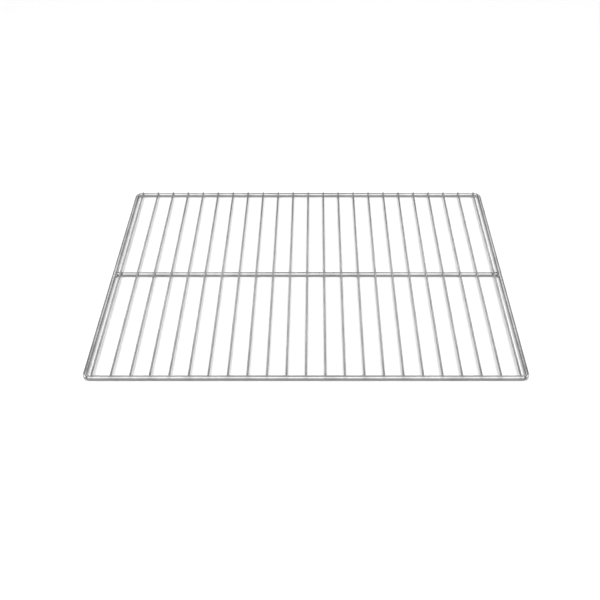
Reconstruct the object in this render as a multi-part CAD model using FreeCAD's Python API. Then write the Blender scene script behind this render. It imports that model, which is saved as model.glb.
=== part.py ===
"""Flat wire cooling rack for bakery trays and ovens.

One round rod is bent into a closed rectangle that stands flat on the table. A straight bar of the
same rod divides it into a front and a back bay. A row of thin parallel wires lies across the front
rail, the bar and the back rail, and each wire is resistance-welded where it crosses them.

Units are millimetres. +X is the width, +Y the depth (front to back), +Z up. The origin is the centre
of the rack's footprint, on the surface that it stands on.
"""
import FreeCAD, Part
import os

# ---- driving dimensions -------------------------------------------------------------------------
RACK_WIDTH = 460.0          # outside to outside of the bent rod, along X
RACK_DEPTH = 330.0          # outside to outside of the bent rod, along Y
ROD_DIAMETER = 5.0          # bent rod and middle bar
BEND_INNER_RADIUS = 3.0     # inside of each corner bend
WIRE_DIAMETER = 2.0         # the thin wires that carry the load
WIRE_COUNT = 23             # evenly spread, half a pitch in from each side

WIRE_SET_DOWN = 0.3         # how far welding presses a wire into the rods
WIRE_END_INSET = 2.0        # from the rod's outer face to the wire's end
WIRE_END_ROUNDING = 0.6     # deburred edge of a wire's end
BAR_END_UPSET = 0.5         # how far the bar's ends are pressed into the side rods

NUGGET_RADIUS = 1.55        # metal squeezed out around each wire's weld
NUGGET_SINK = 0.4           # centre of that metal below the rod's top
BEAD_LEG = 1.4              # fillet bead between the bar and a side rod
BEAD_HEIGHT = 3.6           # the bead stays this tall, clear of the rods' top and bottom

# ---- worked out from them -----------------------------------------------------------------------
ROD_RADIUS = ROD_DIAMETER / 2
WIRE_RADIUS = WIRE_DIAMETER / 2
WIRE_PITCH = RACK_WIDTH / WIRE_COUNT
BEND_RADIUS = BEND_INNER_RADIUS + ROD_RADIUS            # on the rod's centreline
SIDE_X = RACK_WIDTH / 2 - ROD_RADIUS                    # centreline of the side rails
RAIL_Y = RACK_DEPTH / 2 - ROD_RADIUS                    # centreline of the front and back rails
WIRE_Z = ROD_DIAMETER + WIRE_RADIUS - WIRE_SET_DOWN     # centreline of the wires
WIRE_LENGTH = RACK_DEPTH - 2 * WIRE_END_INSET
BAR_HALF_LENGTH = SIDE_X - ROD_RADIUS + BAR_END_UPSET

X_AXIS = FreeCAD.Vector(1, 0, 0)
Y_AXIS = FreeCAD.Vector(0, 1, 0)
Z_AXIS = FreeCAD.Vector(0, 0, 1)


def round_bar(start, direction, length, radius):
    """A straight round bar from start, along direction."""
    return Part.makeCylinder(radius, length, start, direction)


def corner_bend(sign_x, sign_y):
    """A quarter turn of the rod at one corner of the rectangle."""
    centre = FreeCAD.Vector(sign_x * (SIDE_X - BEND_RADIUS), sign_y * (RAIL_Y - BEND_RADIUS), ROD_RADIUS)
    start = centre + FreeCAD.Vector(sign_x * BEND_RADIUS, 0, 0)
    section = Part.Face(Part.Wire(Part.makeCircle(ROD_RADIUS, start, Y_AXIS)))
    return section.revolve(centre, Z_AXIS, 90 * sign_x * sign_y)


def perimeter_rod():
    """The rod bent into a closed rectangle: four straight rails and four corner bends."""
    straight_x = 2 * (SIDE_X - BEND_RADIUS)
    straight_y = 2 * (RAIL_Y - BEND_RADIUS)
    pieces = []
    for sign in (-1, 1):
        rail_start = FreeCAD.Vector(-straight_x / 2, sign * RAIL_Y, ROD_RADIUS)
        pieces.append(round_bar(rail_start, X_AXIS, straight_x, ROD_RADIUS))
        side_start = FreeCAD.Vector(sign * SIDE_X, -straight_y / 2, ROD_RADIUS)
        pieces.append(round_bar(side_start, Y_AXIS, straight_y, ROD_RADIUS))
        for other in (-1, 1):
            pieces.append(corner_bend(sign, other))
    return pieces[0].multiFuse(pieces[1:])


def centre_bar(rod):
    """The straight bar between the side rails, its ends pressed a little way into them."""
    start = FreeCAD.Vector(-BAR_HALF_LENGTH, 0, ROD_RADIUS)
    return round_bar(start, X_AXIS, 2 * BAR_HALF_LENGTH, ROD_RADIUS).cut(rod)


def wire_x(index):
    """Place of a wire across the rack; the first is at the left."""
    return (index + 0.5) * WIRE_PITCH - RACK_WIDTH / 2


def crossed_rod(y):
    """The short stretch of rod that a wire at x = 0 crosses at depth y."""
    return round_bar(FreeCAD.Vector(-WIRE_PITCH / 2, y, ROD_RADIUS), X_AXIS, WIRE_PITCH, ROD_RADIUS)


def plain_wire():
    """The wire at x = 0 with deburred ends, before it is welded down."""
    wire = round_bar(FreeCAD.Vector(0, -WIRE_LENGTH / 2, WIRE_Z), Y_AXIS, WIRE_LENGTH, WIRE_RADIUS)
    end_edges = [edge for edge in wire.Edges if edge.Closed]
    return wire.makeFillet(WIRE_END_ROUNDING, end_edges)


def seated_wire():
    """The wire at x = 0 with a shallow seat where it crosses each rod."""
    wire = plain_wire()
    for y in (-RAIL_Y, 0, RAIL_Y):
        wire = wire.cut(crossed_rod(y))
    return wire


def weld_nugget():
    """The ring of metal squeezed out where the wire at x = 0 crosses a rod at y = 0."""
    metal = Part.makeSphere(NUGGET_RADIUS, FreeCAD.Vector(0, 0, ROD_DIAMETER - NUGGET_SINK))
    return metal.cut(crossed_rod(0)).cut(plain_wire())


def moved(shape, x, y):
    """A copy of a shape, moved across the rack."""
    copy = shape.copy()
    copy.translate(FreeCAD.Vector(x, y, 0))
    return copy


def bar_end_bead(sign, rods):
    """The fillet bead around one end of the bar, kept clear of the rods' top and bottom."""
    inner_face = SIDE_X - ROD_RADIUS
    root = FreeCAD.Vector(sign * (inner_face + BEAD_LEG), 0, ROD_RADIUS)
    towards_middle = FreeCAD.Vector(-sign, 0, 0)
    cone = Part.makeCone(ROD_RADIUS + 2 * BEAD_LEG, ROD_RADIUS, 2 * BEAD_LEG, root, towards_middle)
    span = 4 * ROD_DIAMETER
    slab_corner = FreeCAD.Vector(sign * inner_face - span / 2, -span / 2, ROD_RADIUS - BEAD_HEIGHT / 2)
    bead = cone.common(Part.makeBox(span, span, BEAD_HEIGHT, slab_corner))
    for rod in rods:
        bead = bead.cut(rod)
    return bead


def save(node, shapes):
    """Write one node: a single solid, or a group of separate solids."""
    solids = [solid for shape in shapes for solid in shape.Solids]
    group = solids[0] if len(solids) == 1 else Part.makeCompound(solids)
    valid = all(solid.isValid() for solid in solids)
    volume = sum(solid.Volume for solid in solids)
    print(f"{node}: {len(solids)} solid(s), valid {valid}, {volume:.1f} mm3")
    group.exportStep(f"parts/{node}.step")


def main():
    os.makedirs("parts", exist_ok=True)
    rod = perimeter_rod()
    bar = centre_bar(rod)
    save("perimeter_rod", [rod])
    save("centre_bar", [bar])
    save("bar_end_welds", [bar_end_bead(-1, (rod, bar)), bar_end_bead(1, (rod, bar))])

    wire = seated_wire()
    for index in range(WIRE_COUNT):
        save(f"grid_wire_{index + 1:02d}", [moved(wire, wire_x(index), 0)])

    nugget = weld_nugget()
    for node, y in (("front_wire_welds", -RAIL_Y), ("centre_wire_welds", 0), ("back_wire_welds", RAIL_Y)):
        save(node, [moved(nugget, wire_x(index), y) for index in range(WIRE_COUNT)])


main()
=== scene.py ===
import math
import random

import bpy
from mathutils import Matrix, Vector, noise


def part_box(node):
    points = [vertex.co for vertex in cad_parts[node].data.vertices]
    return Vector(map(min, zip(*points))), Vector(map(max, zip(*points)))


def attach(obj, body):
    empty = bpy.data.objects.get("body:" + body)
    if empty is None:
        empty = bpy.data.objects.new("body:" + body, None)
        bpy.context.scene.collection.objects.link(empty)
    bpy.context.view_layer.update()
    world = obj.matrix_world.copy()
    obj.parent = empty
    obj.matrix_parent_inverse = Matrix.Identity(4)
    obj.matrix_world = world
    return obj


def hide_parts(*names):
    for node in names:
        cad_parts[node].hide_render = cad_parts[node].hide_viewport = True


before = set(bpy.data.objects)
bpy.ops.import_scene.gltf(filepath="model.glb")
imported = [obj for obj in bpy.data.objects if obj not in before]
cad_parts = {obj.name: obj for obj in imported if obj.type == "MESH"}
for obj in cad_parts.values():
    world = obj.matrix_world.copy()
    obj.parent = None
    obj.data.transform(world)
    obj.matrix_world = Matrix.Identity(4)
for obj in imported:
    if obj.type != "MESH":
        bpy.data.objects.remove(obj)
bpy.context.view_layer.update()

MM = 0.001

# ---- places read from the rack ------------------------------------------------------------------
bar_low, bar_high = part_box("centre_bar")
rim_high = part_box("perimeter_rod")[1]
WIRE_NODES = sorted(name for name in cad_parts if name.startswith("grid_wire_"))
wire_low, wire_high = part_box(WIRE_NODES[0])
last_low, last_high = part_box(WIRE_NODES[-1])

ROD_RADIUS = (bar_high.z - bar_low.z) / 2
SIDE_X = rim_high.x - ROD_RADIUS                    # centreline of the side rails
RAIL_Y = rim_high.y - ROD_RADIUS                    # centreline of the front and back rails
WIRE_RADIUS = (wire_high.z - wire_low.z) / 2
WIRE_Z = (wire_high.z + wire_low.z) / 2
WIRE_END_Y = wire_high.y
FIRST_WIRE_X = (wire_low.x + wire_high.x) / 2
LAST_WIRE_X = (last_low.x + last_high.x) / 2
WIRE_PITCH = (LAST_WIRE_X - FIRST_WIRE_X) / (len(WIRE_NODES) - 1)

# ---- shapes that the boxes don't say ------------------------------------------------------------
BEND_RADIUS = 5.5 * MM              # centreline of the rod's corner bends
WIRE_END_ROUNDING = 0.6 * MM        # deburred edge of a wire's end
WIRE_WANDER = 0.10 * MM             # how far a wire strays sideways between its welds
WIRE_END_SPREAD = 0.25 * MM         # how unevenly the wires are cut to length
BAR_OVERLAP = 0.4 * MM              # how far the bar reaches into the side rails

FLASH_TOP = 0.10 * MM               # weld flash: its tip above the wire's centreline
FLASH_FOOT = 0.9 * MM               # its foot below the rod's top
FLASH_TOP_SHARE = 0.78              # its radius at the tip, as a share of the wire's
FLASH_SPREAD = (0.65 * MM, 0.95 * MM)   # how far its foot reaches past the wire
FLASH_UNEVENNESS = 0.16

BEAD_RADIUS = 1.05 * MM             # end bead of the bar
BEAD_STAND_OFF = 0.25 * MM          # its centre outside the rods' surfaces
BEAD_REACH = 50                     # degrees up and down the side rail
BEAD_RIPPLES = 7

ROD_SIDES = 64
WIRE_SIDES = 32
SEED = 23


# ---- mesh building ------------------------------------------------------------------------------
def mesh_object(name, points, faces):
    """A smooth-shaded mesh object."""
    mesh = bpy.data.meshes.new(name)
    mesh.from_pydata([tuple(point) for point in points], [], faces)
    mesh.validate()
    for polygon in mesh.polygons:
        polygon.use_smooth = True
    piece = bpy.data.objects.new(name, mesh)
    bpy.context.scene.collection.objects.link(piece)
    return piece


def ring(centre, along, radius, sides):
    """Points of a circle around a level direction, starting at its outer side and going over the top."""
    across = Vector((along.y, -along.x, 0)).normalized()
    points = []
    for step in range(sides):
        angle = 2 * math.pi * step / sides
        level = across * (radius * math.cos(angle))
        points.append(centre + level + Vector((0, 0, radius * math.sin(angle))))
    return points


def tube(path, directions, radii, sides, closed):
    """Points and faces of a round tube along a level path. Open ends are closed with a flat face."""
    points = []
    faces = []
    for centre, along, radius in zip(path, directions, radii):
        points.extend(ring(centre, along, radius, sides))
    count = len(path)
    for index in range(count if closed else count - 1):
        here = index * sides
        there = (index + 1) % count * sides
        for step in range(sides):
            following = (step + 1) % sides
            faces.append((here + step, there + step, there + following, here + following))
    if not closed:
        faces.append(tuple(range(sides)))
        faces.append(tuple(range(count * sides - 1, (count - 1) * sides - 1, -1)))
    return points, faces


def finish_piece(piece, material, nodes):
    """Gives a piece its material, hangs it under the root body and hides the CAD nodes it stands for."""
    piece.data.materials.append(material)
    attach(piece, "root")
    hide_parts(*nodes)
    return piece


# ---- pieces -------------------------------------------------------------------------------------
def rim_path():
    """Centreline of the bent rod, anticlockwise seen from above: four bends joined by straight rails."""
    bend_steps = 20
    rail_steps = 24
    bends = []
    for corner, (sign_x, sign_y) in enumerate(((1, 1), (-1, 1), (-1, -1), (1, -1))):
        centre = Vector((sign_x * (SIDE_X - BEND_RADIUS), sign_y * (RAIL_Y - BEND_RADIUS), ROD_RADIUS))
        bend = []
        for step in range(bend_steps + 1):
            angle = math.radians(90 * (corner + step / bend_steps))
            outward = Vector((math.cos(angle), math.sin(angle), 0))
            along = Vector((-outward.y, outward.x, 0))
            bend.append((centre + outward * BEND_RADIUS, along))
        bends.append(bend)
    path = []
    for corner, bend in enumerate(bends):
        path.extend(bend)
        start, along = bend[-1]
        end = bends[(corner + 1) % 4][0][0]
        for step in range(1, rail_steps):
            path.append((start.lerp(end, step / rail_steps), along))
    return path


def make_rim(material):
    path = rim_path()
    centres = [centre for centre, along in path]
    directions = [along for centre, along in path]
    points, faces = tube(centres, directions, [ROD_RADIUS] * len(path), ROD_SIDES, closed=True)
    piece = mesh_object("rack_rim", points, faces)
    return finish_piece(piece, material, ["perimeter_rod"])


def make_bar(material):
    half_length = SIDE_X - ROD_RADIUS + BAR_OVERLAP
    steps = 48
    path = [Vector((half_length * (2 * step / steps - 1), 0, ROD_RADIUS)) for step in range(steps + 1)]
    along = Vector((1, 0, 0))
    points, faces = tube(path, [along] * len(path), [ROD_RADIUS] * len(path), ROD_SIDES, closed=False)
    piece = mesh_object("rack_centre_bar", points, faces)
    return finish_piece(piece, material, ["centre_bar"])


def end_profile():
    """Distance from the tip and radius of a wire, from its flat face round its deburred edge."""
    face_radius = WIRE_RADIUS - WIRE_END_ROUNDING
    steps = 7
    profile = []
    for step in range(steps + 1):
        turn = math.pi / 2 * step / steps
        from_tip = WIRE_END_ROUNDING * (1 - math.cos(turn))
        profile.append((from_tip, face_radius + WIRE_END_ROUNDING * math.sin(turn)))
    return profile


def wire_sway(y, amount):
    """Sideways stray of a wire: nothing at the three welds, most half-way between them."""
    return amount * math.sin(math.pi * y / RAIL_Y) ** 2


def make_wire(index, node, material, draw):
    x = FIRST_WIRE_X + index * WIRE_PITCH
    front = -WIRE_END_Y + draw.uniform(0, WIRE_END_SPREAD)
    back = WIRE_END_Y - draw.uniform(0, WIRE_END_SPREAD)
    sway = draw.uniform(-WIRE_WANDER, WIRE_WANDER)
    profile = end_profile()
    stations = [(front + inset, radius) for inset, radius in profile]
    steps = 96
    straight_front = front + 2 * WIRE_END_ROUNDING
    straight_back = back - 2 * WIRE_END_ROUNDING
    for step in range(steps + 1):
        stations.append((straight_front + (straight_back - straight_front) * step / steps, WIRE_RADIUS))
    stations.extend((back - inset, radius) for inset, radius in reversed(profile))
    path = [Vector((x + wire_sway(y, sway), y, WIRE_Z)) for y, radius in stations]
    radii = [radius for y, radius in stations]
    points, faces = tube(path, [Vector((0, 1, 0))] * len(path), radii, WIRE_SIDES, closed=False)
    piece = mesh_object(f"rack_wire_{index + 1:02d}", points, faces)
    return finish_piece(piece, material, [node])


def weld_flash(x, y, draw):
    """The metal squeezed out where a wire was pressed into a rod: a flared, slightly uneven skirt."""
    top_z = WIRE_Z + FLASH_TOP
    low_z = 2 * ROD_RADIUS - FLASH_FOOT
    top_radius = FLASH_TOP_SHARE * WIRE_RADIUS
    low_radius = WIRE_RADIUS + draw.uniform(*FLASH_SPREAD)
    sides = 40
    rows = 10
    offset = Vector((draw.uniform(-50, 50), draw.uniform(-50, 50), draw.uniform(-50, 50)))
    points = [Vector((x, y, top_z))]
    for row in range(rows + 1):
        share = row / rows
        radius = top_radius + (low_radius - top_radius) * share ** 2.2
        height = top_z + (low_z - top_z) * share ** 0.8
        for step in range(sides):
            angle = 2 * math.pi * step / sides
            spot = Vector((math.cos(angle), math.sin(angle), 2 * share))
            reach = radius * (1 + FLASH_UNEVENNESS * share * noise.noise(spot * 1.7 + offset))
            points.append(Vector((x + reach * math.cos(angle), y + reach * math.sin(angle), height)))
    points.append(Vector((x, y, low_z)))
    faces = []
    for step in range(sides):
        following = (step + 1) % sides
        faces.append((0, 1 + step, 1 + following))
        for row in range(rows):
            here = 1 + row * sides
            there = here + sides
            faces.append((here + step, there + step, there + following, here + following))
        last = 1 + rows * sides
        faces.append((last + step, len(points) - 1, last + following))
    return points, faces


def joined(parts):
    """One list of points and one of faces from several separate closed shapes."""
    points = []
    faces = []
    for part_points, part_faces in parts:
        start = len(points)
        points.extend(part_points)
        faces.extend(tuple(start + corner for corner in face) for face in part_faces)
    return points, faces


def make_wire_welds(name, node, y, material, draw):
    parts = [weld_flash(FIRST_WIRE_X + index * WIRE_PITCH, y, draw) for index in range(len(WIRE_NODES))]
    piece = mesh_object(name, *joined(parts))
    return finish_piece(piece, material, [node])


def end_bead(sign_x, sign_y, draw):
    """A rippled fillet bead along one side of the joint between the bar and a side rail."""
    steps = 36
    sides = 20
    reach = math.radians(BEAD_REACH)
    stand_off = ROD_RADIUS + BEAD_STAND_OFF
    offset = draw.uniform(-50, 50)
    path = []
    radii = []
    for step in range(steps + 1):
        share = step / steps
        angle = reach * (2 * share - 1)
        taper = math.sqrt(max(1 - (2 * share - 1) ** 2, 0.0))
        ripple = 1 + 0.10 * math.sin(2 * math.pi * BEAD_RIPPLES * share)
        ripple += 0.12 * noise.noise(Vector((4 * share, offset, 0)))
        path.append(Vector((sign_x * (SIDE_X - stand_off * math.cos(angle)),
                            sign_y * stand_off * math.cos(angle),
                            ROD_RADIUS + ROD_RADIUS * math.sin(angle))))
        radii.append(BEAD_RADIUS * max(taper, 0.05) * ripple)
    points = []
    faces = []
    for index, centre in enumerate(path):
        before = path[max(index - 1, 0)]
        after = path[min(index + 1, steps)]
        along = (after - before).normalized()
        across = along.cross(Vector((sign_x, -sign_y, 0))).normalized()
        other = along.cross(across)
        for step in range(sides):
            turn = 2 * math.pi * step / sides
            points.append(centre + (across * math.cos(turn) + other * math.sin(turn)) * radii[index])
    for index in range(steps):
        for step in range(sides):
            following = (step + 1) % sides
            here = index * sides
            there = here + sides
            faces.append((here + step, here + following, there + following, there + step))
    faces.append(tuple(range(sides - 1, -1, -1)))
    faces.append(tuple(range(steps * sides, (steps + 1) * sides)))
    return points, faces


def make_bar_welds(material, draw):
    parts = [end_bead(sign_x, sign_y, draw) for sign_x in (-1, 1) for sign_y in (-1, 1)]
    piece = mesh_object("rack_bar_welds", *joined(parts))
    return finish_piece(piece, material, ["bar_end_welds"])


# ---- materials ----------------------------------------------------------------------------------
class Nodes:
    """Short calls for building one material's node tree."""

    def __init__(self, name):
        self.material = bpy.data.materials.new(name)
        self.material.use_nodes = True
        self.tree = self.material.node_tree
        self.shader = self.tree.nodes["Principled BSDF"]
        self.place = self.tree.nodes.new("ShaderNodeTexCoord").outputs["Object"]

    def new(self, kind, **settings):
        node = self.tree.nodes.new(kind)
        for key, value in settings.items():
            setattr(node, key, value)
        return node

    def put(self, socket, value):
        if isinstance(value, bpy.types.NodeSocket):
            self.tree.links.new(value, socket)
        else:
            socket.default_value = value

    def math(self, operation, *values):
        node = self.new("ShaderNodeMath", operation=operation)
        for socket, value in zip(node.inputs, values):
            self.put(socket, value)
        return node.outputs[0]

    def axes(self):
        node = self.new("ShaderNodeSeparateXYZ")
        self.put(node.inputs[0], self.place)
        return node.outputs["X"], node.outputs["Y"], node.outputs["Z"]

    def stretched(self, scale):
        node = self.new("ShaderNodeMapping")
        self.put(node.inputs["Vector"], self.place)
        node.inputs["Scale"].default_value = scale
        return node.outputs[0]

    def noise(self, scale, detail=3.0, stretch=(1, 1, 1)):
        node = self.new("ShaderNodeTexNoise")
        self.put(node.inputs["Vector"], self.stretched(stretch))
        node.inputs["Scale"].default_value = scale
        node.inputs["Detail"].default_value = detail
        return node.outputs["Fac"]

    def remap(self, value, low, high, to_low, to_high):
        node = self.new("ShaderNodeMapRange", interpolation_type="SMOOTHSTEP")
        self.put(node.inputs["Value"], value)
        node.inputs["From Min"].default_value = low
        node.inputs["From Max"].default_value = high
        node.inputs["To Min"].default_value = to_low
        node.inputs["To Max"].default_value = to_high
        return node.outputs[0]

    def mix(self, factor, first, second):
        node = self.new("ShaderNodeMix", data_type="RGBA")
        self.put(node.inputs["Factor"], factor)
        self.put(node.inputs[6], first)
        self.put(node.inputs[7], second)
        return node.outputs[2]

    def bump(self, height, strength, distance):
        node = self.new("ShaderNodeBump")
        self.put(node.inputs["Height"], height)
        node.inputs["Strength"].default_value = strength
        node.inputs["Distance"].default_value = distance
        self.put(self.shader.inputs["Normal"], node.outputs[0])


PLATE_LIGHT = (0.58, 0.58, 0.58, 1)
PLATE_DARK = (0.47, 0.47, 0.47, 1)
# painted shade: the darker colour mixed in where wires meet rods and in the weld metal's bump hollows
SHADE_TINT = (0.36, 0.36, 0.36, 1)
TABLE_LIGHT = (0.86, 0.86, 0.86, 1)
TABLE_DARK = (0.84, 0.84, 0.84, 1)
ROD_STREAKS = (60, 60, 60)              # the rods run both ways, so their marks have no direction
WIRE_STREAKS = (2500, 30, 2500)         # drawing marks along the wires
ROD_ROUGHNESS = (0.08, 0.16)
WIRE_ROUGHNESS = (0.05, 0.12)
# how strongly the painted shade darkens the plating beside the welds
SHADE_STRENGTH = 0.4
HEAT_ROUGHNESS = 0.06


def plated_steel(name, shade_and_dull_zone, streaks, rough_low, rough_high):
    """Bright plating over drawn steel. The zone function given is 1 beside a weld, where the plating is
    duller and its colour is darkened with a painted shade where wire and rod meet.
    """
    n = Nodes(name)
    n.shader.inputs["Metallic"].default_value = 1.0
    cloud = n.noise(55, 4)
    grain = n.noise(900, 3)
    drawn = n.noise(1, 2, streaks)
    plate = n.mix(n.remap(cloud, 0.35, 0.70, 0, 1), PLATE_LIGHT, PLATE_DARK)
    plate = n.mix(n.math("MULTIPLY", n.remap(drawn, 0.50, 0.75, 0, 1), 0.25), plate, PLATE_DARK)
    shade_and_dull = shade_and_dull_zone(n)
    mottled = n.math("MULTIPLY", shade_and_dull, n.remap(grain, 0.25, 0.65, 0.55, 1.0))
    # painted shade where wire and rod meet, mixed into the plating's colour
    shaded_plate = n.mix(n.math("MULTIPLY", mottled, SHADE_STRENGTH), plate, SHADE_TINT)
    n.put(n.shader.inputs["Base Color"], shaded_plate)
    polish = n.remap(n.math("ADD", n.math("MULTIPLY", grain, 0.5), n.math("MULTIPLY", drawn, 0.5)),
                     0.30, 0.70, rough_low, rough_high)
    roughness = n.math("ADD", polish, n.math("MULTIPLY", shade_and_dull, HEAT_ROUGHNESS))
    n.put(n.shader.inputs["Roughness"], roughness)
    n.bump(n.math("ADD", n.math("MULTIPLY", drawn, 0.6), n.math("MULTIPLY", grain, 0.4)), 0.10, 0.01 * MM)
    return n.material


def beside_wires(n):
    """1 on a rod where a wire is welded to it, 0 from 3.2 mm away."""
    x, y, z = n.axes()
    from_wire = n.math("PINGPONG", n.math("ADD", x, WIRE_PITCH * 100 - FIRST_WIRE_X), WIRE_PITCH / 2)
    along = n.remap(from_wire, 0.8 * MM, 3.2 * MM, 1, 0)
    past_ends = n.remap(n.math("ABSOLUTE", x), LAST_WIRE_X + 2 * MM, LAST_WIRE_X + 4 * MM, 1, 0)
    upper = n.remap(z, 1.2 * ROD_RADIUS, 1.8 * ROD_RADIUS, 0, 1)
    return n.math("MULTIPLY", n.math("MULTIPLY", along, past_ends), upper)


def beside_rods(n):
    """1 on a wire where it is welded to a rod, 0 from 4.5 mm away."""
    x, y, z = n.axes()
    from_middle = n.math("ABSOLUTE", y)
    from_rail = n.math("ABSOLUTE", n.math("SUBTRACT", from_middle, RAIL_Y))
    return n.remap(n.math("MINIMUM", from_middle, from_rail), 1.0 * MM, 4.5 * MM, 1, 0)


def weld_metal(name):
    """Plated weld metal: duller and lumpier than the rods, its bump hollows darkened with painted shade.
    """
    n = Nodes(name)
    n.shader.inputs["Metallic"].default_value = 1.0
    lumps = n.noise(700, 4)
    specks = n.noise(2600, 2)
    # painted shade: the low spots of the bump lumps get the dark tint
    n.put(n.shader.inputs["Base Color"], n.mix(n.remap(lumps, 0.35, 0.65, 0, 1), SHADE_TINT, PLATE_DARK))
    n.put(n.shader.inputs["Roughness"], n.remap(specks, 0.3, 0.7, 0.20, 0.34))
    n.bump(n.math("ADD", lumps, n.math("MULTIPLY", specks, 0.4)), 0.3, 0.06 * MM)
    return n.material


def table_top():
    """Matt white laminate with the faintest mottle."""
    n = Nodes("table_white")
    cloud = n.noise(9, 3)
    n.put(n.shader.inputs["Base Color"], n.mix(cloud, TABLE_LIGHT, TABLE_DARK))
    n.put(n.shader.inputs["Roughness"], n.remap(n.noise(300, 2), 0.3, 0.7, 0.65, 0.75))
    n.shader.inputs["Specular IOR Level"].default_value = 0.2
    return n.material


# ---- studio -------------------------------------------------------------------------------------
TABLE_HALF = 1.5                # half a side of the square table

BACKDROP_BRIGHTNESS = 1.0       # the white backdrop behind the table, seen by the camera only
WALL_BRIGHTNESS = 0.24
WALL_TOP = 30                   # degrees above level
CEILING_BRIGHTNESS = 0.30
CEILING_EDGE = 65               # degrees above level
FRONT_GROUND_BRIGHTNESS = 0.55  # what the steel mirrors below level, towards the camera
BACK_GROUND_BRIGHTNESS = 0.80   # and away from it
GROUND_BLEND = 0.3              # y of a direction, before and behind, where the blend between them ends
HORIZON_BLEND = 4               # degrees either side of level

# name, width, height, brightness of the surface, place
TABLE_LIGHTS = (
    ("key", 3.4, 2.4, 8.3, (0, -0.7, 4.5)),
    ("fill", 9.0, 9.0, 0.25, (0, 0, 4.6)),
)
MIRRORED_PANELS = (
    ("ceiling_panel", 5.2, 2.8, 1.8, (0, -1.0, 4.4)),
    ("front_panel", 6.0, 3.0, 1.4, (0, -3.9, 2.9)),
    ("left_panel", 3.4, 2.4, 1.8, (-4.3, 0, 1.7)),
    ("right_panel", 3.4, 2.4, 1.8, (4.3, 0, 1.7)),
    ("back_left_panel", 1.3, 1.35, 1.5, (-1.14, 3.50, 3.09)),
    ("back_right_panel", 1.3, 1.35, 1.5, (1.14, 3.50, 3.09)),
)

CAMERA_PITCH = 42.71            # degrees below level
CAMERA_PLACE = (0.0098, -0.6849, 0.5934)
CAMERA_SENSOR = 36              # millimetres
CAMERA_LENS = 45.88             # millimetres
CAMERA_SHIFT_X = -0.02586       # the rack stands a little right of the frame's middle
CAMERA_CLIP = 0.01


def make_table():
    corners = [(-TABLE_HALF, -TABLE_HALF, 0), (TABLE_HALF, -TABLE_HALF, 0),
               (TABLE_HALF, TABLE_HALF, 0), (-TABLE_HALF, TABLE_HALF, 0)]
    table = mesh_object("table", corners, [(0, 1, 2, 3)])
    table.data.materials.append(table_top())
    table.visible_glossy = False        # the steel mirrors the room's grey ground instead


def softbox(name, size_x, size_y, brightness, place, mirrored):
    """A rectangular area light aimed at the middle of the rack.

    A mirrored one shows in the steel only. Any other lights the table and doesn't show in the steel.
    """
    light = bpy.data.lights.new(name, "AREA")
    light.shape = "RECTANGLE"
    light.size = size_x
    light.size_y = size_y
    light.energy = brightness * math.pi * size_x * size_y
    lamp = bpy.data.objects.new(name, light)
    lamp.location = place
    lamp.visible_diffuse = not mirrored
    lamp.visible_glossy = mirrored
    lamp.rotation_euler = (-Vector(place)).to_track_quat("-Z", "Y").to_euler()
    bpy.context.scene.collection.objects.link(lamp)


def smooth_step(tree, value, start, end, before, after):
    """Node whose output goes smoothly from before to after while value goes from start to end."""
    node = tree.nodes.new("ShaderNodeMapRange")
    node.interpolation_type = "SMOOTHSTEP"
    tree.links.new(value, node.inputs["Value"])
    node.inputs["From Min"].default_value = start
    node.inputs["From Max"].default_value = end
    node.inputs["To Min"].default_value = before
    node.inputs["To Max"].default_value = after
    return node


def height_of(degrees):
    """Height of a direction that is this far above level."""
    return math.sin(math.radians(degrees))


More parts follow.
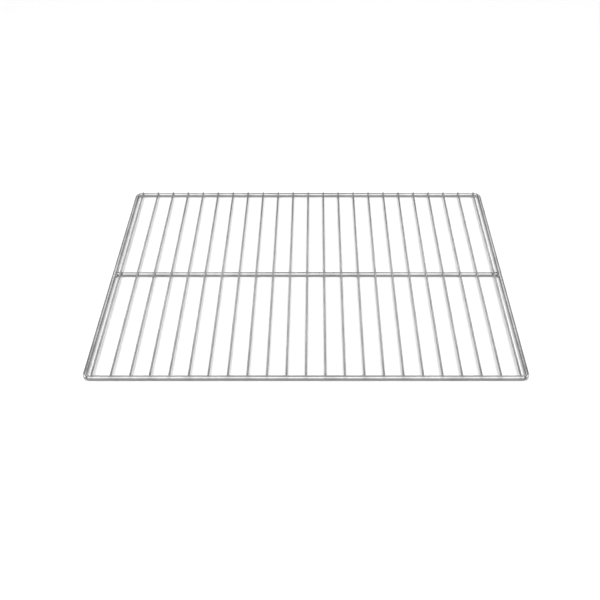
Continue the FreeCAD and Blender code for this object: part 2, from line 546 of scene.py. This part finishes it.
def make_room():
    """What the steel mirrors besides the panels: grey ground, darker walls, a slightly lighter ceiling.

    The camera sees a white backdrop in its place.
    """
    world = bpy.data.worlds.new("studio")
    world.use_nodes = True
    tree = world.node_tree
    direction = tree.nodes.new("ShaderNodeSeparateXYZ")
    tree.links.new(tree.nodes.new("ShaderNodeTexCoord").outputs["Generated"], direction.inputs[0])
    height = direction.outputs["Z"]
    ground = smooth_step(tree, direction.outputs["Y"], -GROUND_BLEND, GROUND_BLEND,
                         FRONT_GROUND_BRIGHTNESS, BACK_GROUND_BRIGHTNESS)
    walls = smooth_step(tree, height, height_of(-HORIZON_BLEND), height_of(HORIZON_BLEND),
                        0, WALL_BRIGHTNESS)
    tree.links.new(ground.outputs[0], walls.inputs["To Min"])
    ceiling = smooth_step(tree, height, height_of(WALL_TOP), height_of(CEILING_EDGE),
                          0, CEILING_BRIGHTNESS - WALL_BRIGHTNESS)
    room = tree.nodes.new("ShaderNodeMath")
    room.operation = "ADD"
    tree.links.new(walls.outputs[0], room.inputs[0])
    tree.links.new(ceiling.outputs[0], room.inputs[1])
    seen = tree.nodes.new("ShaderNodeMix")
    seen.data_type = "FLOAT"
    camera_ray = tree.nodes.new("ShaderNodeLightPath").outputs["Is Camera Ray"]
    tree.links.new(camera_ray, seen.inputs["Factor"])
    tree.links.new(room.outputs[0], seen.inputs["A"])
    seen.inputs["B"].default_value = BACKDROP_BRIGHTNESS
    tree.links.new(seen.outputs["Result"], tree.nodes["Background"].inputs["Color"])
    bpy.context.scene.world = world


def make_camera():
    camera = bpy.data.cameras.new("camera")
    camera.sensor_width = CAMERA_SENSOR
    camera.lens = CAMERA_LENS
    camera.shift_x = CAMERA_SHIFT_X
    camera.clip_start = CAMERA_CLIP
    stand = bpy.data.objects.new("camera", camera)
    stand.location = CAMERA_PLACE
    stand.rotation_euler = (math.radians(90 - CAMERA_PITCH), 0, 0)
    bpy.context.scene.collection.objects.link(stand)
    bpy.context.scene.camera = stand


# ---- the scene ----------------------------------------------------------------------------------
def main():
    draw = random.Random(SEED)
    rod_finish = plated_steel("plated_rod", beside_wires, ROD_STREAKS, *ROD_ROUGHNESS)
    wire_finish = plated_steel("plated_wire", beside_rods, WIRE_STREAKS, *WIRE_ROUGHNESS)
    weld_finish = weld_metal("plated_weld")
    make_rim(rod_finish)
    make_bar(rod_finish)
    for index, node in enumerate(WIRE_NODES):
        make_wire(index, node, wire_finish, draw)
    make_wire_welds("rack_front_welds", "front_wire_welds", -RAIL_Y, weld_finish, draw)
    make_wire_welds("rack_centre_welds", "centre_wire_welds", 0.0, weld_finish, draw)
    make_wire_welds("rack_back_welds", "back_wire_welds", RAIL_Y, weld_finish, draw)
    make_bar_welds(weld_finish, draw)
    make_table()
    make_room()
    for light in TABLE_LIGHTS:
        softbox(*light, mirrored=False)
    for panel in MIRRORED_PANELS:
        softbox(*panel, mirrored=True)
    make_camera()
    bpy.context.scene.view_settings.view_transform = "Standard"


main()
